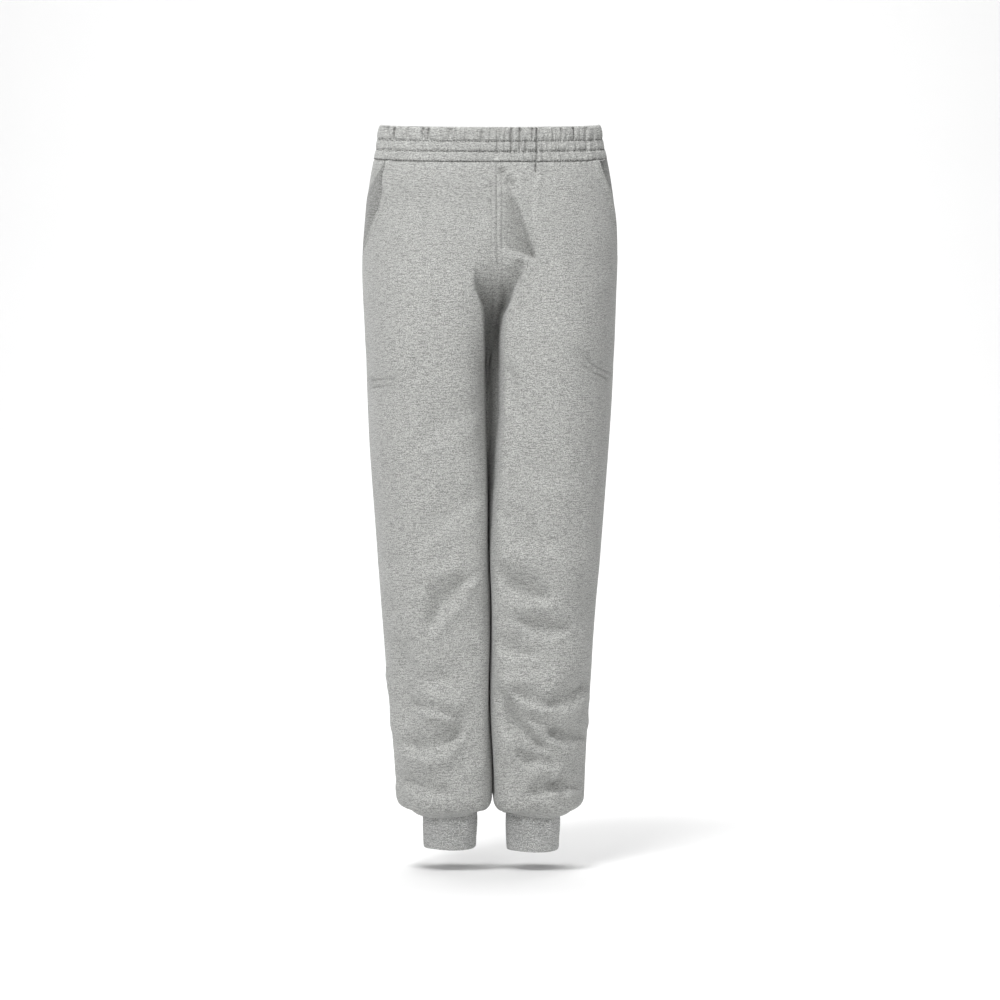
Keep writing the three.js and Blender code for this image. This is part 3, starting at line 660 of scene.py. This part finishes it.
def hoop_piece(name, points, round_it, over_it):
    """A closed hoop of cloth from a grid of points, with its flat measures round it and over its edge."""
    flat = stack(round_it, over_it[None, :], 0)[..., :2]
    points[-1], points[:, -1] = points[0], points[:, 0]
    piece = grid_piece(name, points, flat, np.zeros(3))
    bpy.ops.object.mode_set(mode="EDIT")
    bpy.ops.mesh.select_all(action="SELECT")
    bpy.ops.mesh.remove_doubles(threshold=0.000001)
    bpy.ops.mesh.normals_make_consistent(inside=False)
    bpy.ops.object.mode_set(mode="OBJECT")
    bpy.ops.object.shade_smooth()
    return piece


def thicken(piece, thickness):
    """Gives a sheet its thickness, inwards."""
    solidify = piece.modifiers.new("thickness", "SOLIDIFY")
    solidify.thickness = thickness
    solidify.offset = -1
    solidify.use_even_offset = False
    bpy.context.view_layer.objects.active = piece
    bpy.ops.object.modifier_apply(modifier=solidify.name)
    bpy.ops.object.shade_smooth_by_angle(angle=SHARP_EDGE)


class Wire:
    """A shader socket that can be used in sums and products."""

    def __init__(self, material, socket):
        self.material, self.socket = material, socket

    def node(self, kind, inputs=(), output=0, **settings):
        return make_node(self.material, kind, inputs, output, **settings)

    def maths(self, operation, *values):
        return self.node("ShaderNodeMath", dict(enumerate(values)), operation=operation)

    def __add__(self, other):
        return self.maths("ADD", self, other)

    def __radd__(self, other):
        return self.maths("ADD", other, self)

    def __sub__(self, other):
        return self.maths("SUBTRACT", self, other)

    def __rsub__(self, other):
        return self.maths("SUBTRACT", other, self)

    def __mul__(self, other):
        return self.maths("MULTIPLY", self, other)

    def __rmul__(self, other):
        return self.maths("MULTIPLY", other, self)

    def sine(self):
        return self.maths("SINE", self)

    def smooth(self, low, high):
        """0 below low, 1 above high, smooth between."""
        sockets = {0: self, 1: low, 2: high, 3: 0.0, 4: 1.0}
        return self.node("ShaderNodeMapRange", sockets, interpolation_type="SMOOTHSTEP")


def make_node(material, kind, inputs=(), output=0, **settings):
    """Adds a node, sets its settings, then gives its sockets their values or links."""
    tree = material.node_tree
    node = tree.nodes.new(kind)
    for name, value in settings.items():
        setattr(node, name, value)
    for key, value in dict(inputs).items():
        if isinstance(value, Wire):
            tree.links.new(value.socket, node.inputs[key])
        else:
            node.inputs[key].default_value = value
    return Wire(material, node.outputs[output]) if node.outputs else None


def mix_colour(material, factor, first, second):
    sockets = {0: factor, 6: first, 7: second}
    return make_node(material, "ShaderNodeMix", sockets, output=2, data_type="RGBA")


def new_material(name):
    material = bpy.data.materials.new(name)
    material.use_nodes = True
    material.node_tree.nodes.clear()
    return material


def finish_material(material, colour, bump, bump_depth, roughness, sheen):
    """A matte cloth shader fed with a colour and a height."""
    normal = make_node(material, "ShaderNodeBump", {"Strength": 1.0, "Distance": bump_depth, "Height": bump})
    shader = make_node(
        material, "ShaderNodeBsdfPrincipled",
        {
            "Base Color": colour, "Roughness": roughness, "Normal": normal, "Specular IOR Level": 0.2,
            "Sheen Weight": sheen, "Sheen Roughness": 0.45, "Sheen Tint": (1.0, 1.0, 1.0, 1.0),
        },
    )
    make_node(material, "ShaderNodeOutputMaterial", {0: shader})
    return material


def noise(material, across, down, detail, roughness, seed):
    """Noise on the cloth's flat measures, scaled by across and down."""
    flat = make_node(material, "ShaderNodeUVMap", uv_map="flat")
    scaled = {0: flat, 1: (across, down, 1.0)}
    vector = make_node(material, "ShaderNodeVectorMath", scaled, operation="MULTIPLY")
    sockets = {"Vector": vector, "W": seed, "Scale": 1.0, "Detail": detail, "Roughness": roughness}
    return make_node(material, "ShaderNodeTexNoise", sockets, noise_dimensions="4D")


def marled_cloth(name, colour, contrast, knit, relief, sheen):
    """Jersey of light and dark yarns: short streaks along the courses, fuzz, and the knit's own relief."""
    wales, courses = knit
    material = new_material(name)
    streak = noise(material, 240, 900, 2.0, 0.6, 1.0)
    slub = noise(material, 80, 600, 2.0, 0.5, 5.0)
    grain = noise(material, 760, 1000, 1.0, 0.5, 9.0)
    cloud = noise(material, 14, 22, 2.0, 0.5, 3.0)
    tone = lambda share: tuple(min(1.0, c * share) for c in colour) + (1.0,)
    shade = tone(1.06)
    for where, strength, lightness in (
        (1 - streak.smooth(0.3, 0.5), 0.72 * contrast, 0.3),
        (streak.smooth(0.5, 0.68), 0.62 * contrast, 1.8),
        (slub.smooth(0.46, 0.66), 0.62 * contrast, 0.5),
        (1 - grain.smooth(0.36, 0.5), 0.66 * contrast, 0.45),
        (grain.smooth(0.52, 0.64), 0.62 * contrast, 1.6),
        (cloud.smooth(0.35, 0.65), 0.1, 0.86),
    ):
        shade = mix_colour(material, where * strength, shade, tone(lightness))
    flat = make_node(material, "ShaderNodeUVMap", uv_map="flat")
    u, v = (make_node(material, "ShaderNodeSeparateXYZ", {0: flat}, output=i) for i in (0, 1))
    wale = (u * (2 * math.pi * wales)).sine()
    course = (v * (2 * math.pi * courses) + wale * 0.8).sine()
    height = wale * relief + course * (0.6 * relief) + grain * 0.9 + streak * 0.5
    return finish_material(material, shade, height, 0.00045, 0.93, sheen)


def plain_finish(name, colour, scale, dark, light, roughness, sheen):
    """A finish that varies a little from dark to light, such as twisted thread or paint."""
    material = new_material(name)
    place = make_node(material, "ShaderNodeTexCoord", output=3)
    cloud = make_node(material, "ShaderNodeTexNoise", {"Vector": place, "Scale": scale, "Detail": 2.0})
    tones = (tuple(c * share for c in colour) + (1.0,) for share in (dark, light))
    return finish_material(material, mix_colour(material, cloud, *tones), cloud, 0.0001, roughness, sheen)


def material_of(name):
    """The named finish, made the first time it is asked for."""
    found = bpy.data.materials.get(name)
    if found:
        return found
    settings = bpy.context.scene.jogger
    if name == "marled jersey":
        return marled_cloth(name, settings.jersey_colour, settings.marl, JERSEY_KNIT, 0.25, 0.3)
    if name == "pocket jersey in painted shade":
        # The lining is the jersey darkened to 0.74: painted shade for the hollow behind the pocket mouths.
        painted_shade_colour = [c * 0.74 for c in settings.jersey_colour]
        return marled_cloth(name, painted_shade_colour, settings.marl, JERSEY_KNIT, 0.25, 0.2)
    if name == "fine rib":
        return marled_cloth(name, settings.rib_colour, settings.marl * 1.2, RIB_KNIT, 0.8, 0.3)
    # The waistband's thread is the sewing thread darkened to 0.3: painted shade for stitches sunk in the
    # puckered rows.
    share = 0.3 if name == "thread in painted shade" else 1
    return plain_finish(name, [c * share for c in settings.thread_colour], 900.0, 0.8, 1.15, 0.7, 0.15)


def dress(piece, nodes, finish):
    """Gives a piece its finish and its place in the frame, where it stands for these solids."""
    piece.data.materials.clear()
    piece.data.materials.append(material_of(finish))
    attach(piece, "root")
    if nodes:
        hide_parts(*nodes)


def one_stitch(length, width, height):
    """The points and faces of one stitch, lying along X."""
    fresh()
    bpy.ops.mesh.primitive_uv_sphere_add(segments=6, ring_count=5, radius=1)
    model = bpy.context.object
    bpy.ops.object.mode_set(mode="EDIT")
    bpy.ops.mesh.select_all(action="SELECT")
    bpy.ops.transform.rotate(value=math.pi / 2, orient_axis="Y", center_override=(0, 0, 0))
    bpy.ops.transform.resize(value=(length / 2, width / 2, height / 2), center_override=(0, 0, 0))
    bpy.ops.object.mode_set(mode="OBJECT")
    points = np.array([vertex.co for vertex in model.data.vertices])
    faces = [tuple(face.vertices) for face in model.data.polygons]
    bpy.data.objects.remove(model, do_unlink=True)
    return points, faces


def spaced_points(route, pitch):
    """Points a pitch apart along a route, with the route's direction at each."""
    run = running_length(route, 0)
    stops = np.arange(pitch / 2, run[-1], pitch)
    at = np.stack([np.interp(stops, run, route[:, i]) for i in range(3)], axis=1)
    ahead = np.stack([np.interp(stops + 0.5, run, route[:, i]) for i in range(3)], axis=1)
    return at, ahead - at


def sew(name, seams, finish, length=2.1, width=0.75):
    """Rows of stitches in one piece: seams are (cloth, route) pairs, each route lying on its cloth."""
    points, faces = one_stitch(length * MM, width * MM, STITCH_HEIGHT * MM)
    all_points, all_faces = [], []
    for cloth, route in seams:
        at, ahead = spaced_points(np.asarray(route, float), STITCH_PITCH)
        for place, run in zip(at, ahead):
            hit, spot, normal, _ = cloth.closest_point_on_mesh(Vector(place * MM))
            if not hit:
                raise RuntimeError("a stitch of %s missed its cloth" % name)
            along = Vector(run).normalized()
            across = normal.cross(along).normalized()
            turn = Matrix((across.cross(normal), across, normal)).transposed()
            base = len(points) * len(all_points)
            all_points.append(points @ np.array(turn).T + np.array(spot + normal * (STITCH_LIFT * MM)))
            all_faces += [tuple(base + i for i in face) for face in faces]
    mesh = bpy.data.meshes.new(name)
    mesh.from_pydata(np.concatenate(all_points).tolist(), [], all_faces)
    mesh.polygons.foreach_set("use_smooth", [True] * len(mesh.polygons))
    piece = bpy.data.objects.new(name, mesh)
    bpy.context.collection.objects.link(piece)
    dress(piece, [], finish)
    return piece


class MESH_OT_jogger_legs(bpy.types.Operator):
    """Make the front and back leg panels with their creases and bloused hems"""

    bl_idname = "mesh.jogger_legs"
    bl_label = "Leg panels"

    def execute(self, context):
        for side in SIDES:
            for face, (flat, area) in PANEL_FLAT.items():
                name = "%s_panel_%s" % (face, side)
                piece = grid_piece(name, *leg_grid(side, face == "front"), leg_heart(side))
                thicken(piece, context.scene.jogger.cloth)
                solids = ["%s_%s_%s" % (face, side, part) for part in ("upper", "lower")]
                dress(piece, solids, "marled jersey")
        return {"FINISHED"}


class MESH_OT_jogger_pockets(bpy.types.Operator):
    """Make the pocket bags that show inside the curved mouths"""

    bl_idname = "mesh.jogger_pockets"
    bl_label = "Pocket bags"

    def execute(self, context):
        for side in SIDES:
            drop = np.linspace(BAND_DROP, BAG_END, 110)[:, None]
            radius = level(drop, side)
            run = np.clip((drop - BAG_STRAIGHT) / (BAG_ROUND_OUT - BAG_STRAIGHT), 0, 1)
            corner = 1 - (1 - run**BAG_CORNER) ** (1 / BAG_CORNER)
            edge = BAG_EDGE + (radius - BAG_EDGE) * corner - sign_of(side) * level(drop, "front_seam")
            mouth = mouth_angle(side, drop)
            opened = np.clip(mouth * radius / MOUTH_WIDE, 0, 1)
            inner = angle_at(side, drop, True, edge)
            outer = side_angle(side, drop) - 0.001
            angle = inner + (outer - inner) * np.linspace(0, 1, 60)[None, :]
            near = np.clip(1 - (outer - angle) / np.maximum(mouth, 0.02), 0, 1) * np.minimum(1, 5 * opened)
            points = skin(side, angle, drop)
            outward = leg_normal(side, angle, drop)
            across = running_length(points, 1)
            sink = BAG_LEAST_SINK + BAG_MORE_SINK * np.sqrt(opened) * bell(near - 0.12, 0.35)
            sink = sink * (1 - near)
            points = points - outward * (sink + 0.3 * soft_noise(across, drop, 20, 20, 5))[..., None]
            flat = np.stack([across, np.broadcast_to(drop, across.shape)], axis=-1)
            piece = grid_piece("pocket_lining_%s" % side, points, flat, leg_heart(side))
            thicken(piece, BAG_CLOTH)
            # The lining takes the jersey darkened as painted shade.
            dress(piece, ["pocket_bag_%s" % side], "pocket jersey in painted shade")
        return {"FINISHED"}


class MESH_OT_jogger_waistband(bpy.types.Operator):
    """Make the gathered waistband with its stitched channels"""

    bl_idname = "mesh.jogger_waistband"
    bl_label = "Waistband"

    def execute(self, context):
        turn = np.linspace(0, 2 * math.pi, BAND_COLUMNS)[:, None]
        # Up the outside, over the top edge and down the inside.
        rows = np.concatenate([
            np.linspace(BAND_DROP, 2.2, 34), [1.1, 0.3, 0, 0.3, 1.2], np.linspace(4, BAND_DROP, 9), [BAND_DROP],
        ])
        outs = np.concatenate([np.zeros(34), [-0.3, -1.1, -2.1, -3.1, -3.9], np.full(9, -BAND_WALL), [0]])
        drop, out = rows[None, :], outs[None, :]
        outside = out > -0.2
        side, angle, points = round_waist(turn, drop)
        place = np.interp(drop, BAND_ROWS, range(len(BAND_ROWS)))
        channel = np.clip(np.floor(place), 0, 2)
        puff = np.abs(np.sin(math.pi * place)) ** 0.7
        ripple = band_ripple(side, angle + 0 * drop, channel)
        length = turn * BAND_RADIUS
        pucker = (0.5 + 0.5 * np.cos(2 * math.pi * length / STITCH_PITCH)) ** 1.5
        at_row = sum(bell(drop - row, 1) for row in BAND_ROWS[1:])
        puff = puff * (1 - 0.5 * bell(np.cos(angle) - 1, 0.12))
        strength = np.where(channel == 0, 1.25, 0.85)
        push = -0.6 + 1.1 * puff + strength * ripple * (0.35 + 0.65 * puff) - (0.5 + 2.3 * pucker) * at_row
        push = push + 0.5 * soft_noise(length, drop, 6, 9, 21) - loose_tucks(turn, drop)
        top = smoothstep(drop, 0, 3)
        push = np.where(outside, push, out - 0.6 + 0.35 * ripple * (1 - top))
        normal = stack(np.cos(turn - math.pi / 2), np.sin(turn - math.pi / 2), 0)
        tucks = np.where(outside, sharp_tucks(turn, points[..., 0], drop), 0)
        points = points + normal * push[..., None]
        points[..., 1] += tucks
        down = np.cumsum(np.abs(np.diff(rows, prepend=rows[0])))
        piece = hoop_piece("gathered_waistband", points, length, down)
        dress(piece, ["waistband"], "marled jersey")
        return {"FINISHED"}


class MESH_OT_jogger_cuffs(bpy.types.Operator):
    """Make the folded rib cuffs"""

    bl_idname = "mesh.jogger_cuffs"
    bl_label = "Cuffs"

    def execute(self, context):
        for side in SIDES:
            turn = np.linspace(0, 2 * math.pi, CUFF_COLUMNS)[:, None]
            # Down the outside, round the lower edge and up the inside.
            part = np.concatenate([
                np.linspace(0, 0.93, 30), [0.955, 0.975, 0.99, 1, 1, 0.99, 0.97], np.linspace(0.92, 0, 12), [0],
            ])
            out = np.concatenate([
                np.zeros(30), [-0.15, -0.4, -0.8, -1.3, -1.9, -2.5, -2.85], np.full(12, -3.0), [0],
            ])
            height = CUFF_BOTTOM[side] - CUFF_TOP
            drop = CUFF_TOP + height * part[None, :] + 0 * turn
            bulge = 0.8 * np.sin(math.pi * np.clip(part, 0, 1)) ** 2
            length = turn * CUFF_RADIUS
            soft = 0.5 * soft_noise(length, drop, 16, 22, 31) + 0.25 * np.sin(7 * turn + 1)
            push = out[None, :] + bulge[None, :] + soft + 0.2 * np.sin(12 * turn)
            angle = sign_of(side) * turn + (math.pi if side == "right" else 0)
            points = cuff_point(side, angle, drop, push)
            points[..., 2] += 0.6 * np.sin(2 * turn + 0.5) * part[None, :]
            down = np.cumsum(np.hypot(np.diff(part, prepend=0) * height, np.diff(out, prepend=0)))
            piece = hoop_piece("rib_cuff_%s" % side, points, length, down)
            dress(piece, ["cuff_%s" % side], "fine rib")
        return {"FINISHED"}


class MESH_OT_jogger_sewing(bpy.types.Operator):
    """Sew the topstitching of the waistband, rise, pocket mouths and pocket bags"""

    bl_idname = "mesh.jogger_sewing"
    bl_label = "Sewing"

    def execute(self, context):
        band = bpy.data.objects["gathered_waistband"]
        turn = np.linspace(0, 2 * math.pi, 400)[:-1]
        rows = (BAND_ROWS[1], BAND_ROWS[2], BAND_ROWS[3] - 0.5)
        seams = [(band, round_waist(turn, row)[2]) for row in rows]
        # The waistband's stitches take the thread darkened as painted shade.
        sew("waistband_stitches", seams, "thread in painted shade", length=1.6, width=0.9)

        seams = []
        for side in SIDES:
            for face in ("front", "back"):
                panel = bpy.data.objects["%s_panel_%s" % (face, side)]
                drop = np.linspace(BAND_DROP + 3, CROTCH - 12, 90)
                turns = angle_at(side, drop, face == "front", 5.2)
                seams.append((panel, skin(side, turns, drop)))
        sew("rise_stitches", seams, "grey thread")

        seams = []
        for side in SIDES:
            panel = bpy.data.objects["front_panel_%s" % side]
            drop = MOUTH_END - (MOUTH_END - BAND_DROP - 2) * np.linspace(0, 1, 80) ** 1.5
            for away in MOUTH_STITCHES:
                low = np.maximum(mouth_angle(side, drop), 0.012) + away / level(drop, side)
                seams.append((panel, skin(side, side_angle(side, drop) - low, drop)))
            for away in (0, BAG_STITCH_APART):
                route = np.array(moved_route(BAG_STITCHES[side], away))
                run = running_length(route, 0)
                fine = np.linspace(0, run[-1], 60)
                x, drop = np.interp(fine, run, route[:, 0]), np.interp(fine, run, route[:, 1])
                distance = sign_of(side) * (x - level(drop, "front_seam"))
                seams.append((panel, skin(side, angle_at(side, drop, True, distance), drop)))
        sew("pocket_stitches", seams, "grey thread")
        return {"FINISHED"}


class SCENE_OT_jogger_stage(bpy.types.Operator):
    """Make the floor, the soft studio lights and the camera"""

    bl_idname = "scene.jogger_stage"
    bl_label = "Stage"

    def light(self, name, place, size, watts, aim):
        lamp = bpy.data.lights.new(name, "AREA")
        lamp.shape, lamp.size, lamp.energy = "SQUARE", size, watts
        thing = bpy.data.objects.new(name, lamp)
        thing.location = place
        thing.rotation_euler = (Vector(aim) - Vector(place)).to_track_quat("-Z", "Y").to_euler()
        bpy.context.collection.objects.link(thing)

    def execute(self, context):
        scene = context.scene
        low, _ = CAD_BOX
        fresh()
        bpy.ops.mesh.primitive_grid_add(x_subdivisions=2, y_subdivisions=FLOOR_ROWS, size=1)
        floor = context.object
        floor.name = floor.data.name = "studio_floor"
        run = np.linspace(-8, 14, FLOOR_ROWS + 1)
        bend = np.clip(run / FLOOR_BEND - 1, 0, math.pi / 2)
        ahead = np.minimum(run, FLOOR_BEND) + FLOOR_BEND * np.sin(bend)
        up = FLOOR_BEND * (1 - np.cos(bend)) + np.maximum(run - FLOOR_BEND * (1 + math.pi / 2), 0)
        for vertex in floor.data.vertices:
            row = round((vertex.co.y + 0.5) * FLOOR_ROWS)
            vertex.co = (vertex.co.x * FLOOR_WIDTH, ahead[row], up[row] + low.z - FLOOR_BELOW)
        bpy.ops.object.shade_smooth()
        paint = plain_finish("studio floor", scene.jogger.floor_colour, 3.0, 0.985, 1, 0.9, 0.0)
        floor.data.materials.append(paint)
        floor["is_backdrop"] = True
        for row in LIGHTS:
            self.light(*row)

        world = bpy.data.worlds.new("studio")
        world.use_nodes = True
        background = world.node_tree.nodes["Background"]
        background.inputs[0].default_value = (1, 1, 1, 1)
        background.inputs[1].default_value = SKY_STRENGTH
        scene.world = world
        scene.view_settings.view_transform = "Standard"
        scene.view_settings.look = "None"

        camera = bpy.data.cameras.new("camera")
        camera.lens, camera.sensor_width = CAMERA_LENS, 36
        eye = bpy.data.objects.new("camera", camera)
        eye.location = CAMERA_PLACE
        eye.rotation_euler = (math.pi / 2, 0, 0)
        bpy.context.collection.objects.link(eye)
        scene.camera = eye
        return {"FINISHED"}


class VIEW3D_PT_jogger(bpy.types.Panel):
    """Lists the pieces of the jogger"""

    bl_label = "Jogger"
    bl_idname = "VIEW3D_PT_jogger"
    bl_space_type = "VIEW_3D"
    bl_region_type = "UI"
    bl_category = "Jogger"

    def draw(self, context):
        settings = context.scene.jogger
        for name in ("cloth", "crease", "gathers", "marl", "jersey_colour", "rib_colour", "thread_colour"):
            self.layout.prop(settings, name)
        for step in STEPS:
            self.layout.operator(step.bl_idname)


STEPS = (
    MESH_OT_jogger_waistband,
    MESH_OT_jogger_legs,
    MESH_OT_jogger_pockets,
    MESH_OT_jogger_cuffs,
    MESH_OT_jogger_sewing,
    SCENE_OT_jogger_stage,
)
CLASSES = (JoggerSettings, *STEPS, VIEW3D_PT_jogger)


def register():
    for each in CLASSES:
        bpy.utils.register_class(each)
    bpy.types.Scene.jogger = PointerProperty(type=JoggerSettings)


def unregister():
    del bpy.types.Scene.jogger
    for each in reversed(CLASSES):
        bpy.utils.unregister_class(each)


def main():
    register()
    bpy.ops.mesh.jogger_waistband()
    bpy.ops.mesh.jogger_legs()
    bpy.ops.mesh.jogger_pockets()
    bpy.ops.mesh.jogger_cuffs()
    bpy.ops.mesh.jogger_sewing()
    bpy.ops.scene.jogger_stage()
    sizes = {"cad": [list(corner) for corner in CAD_BOX], "visual": [list(corner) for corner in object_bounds()]}


if __name__ == "__main__":
    main()
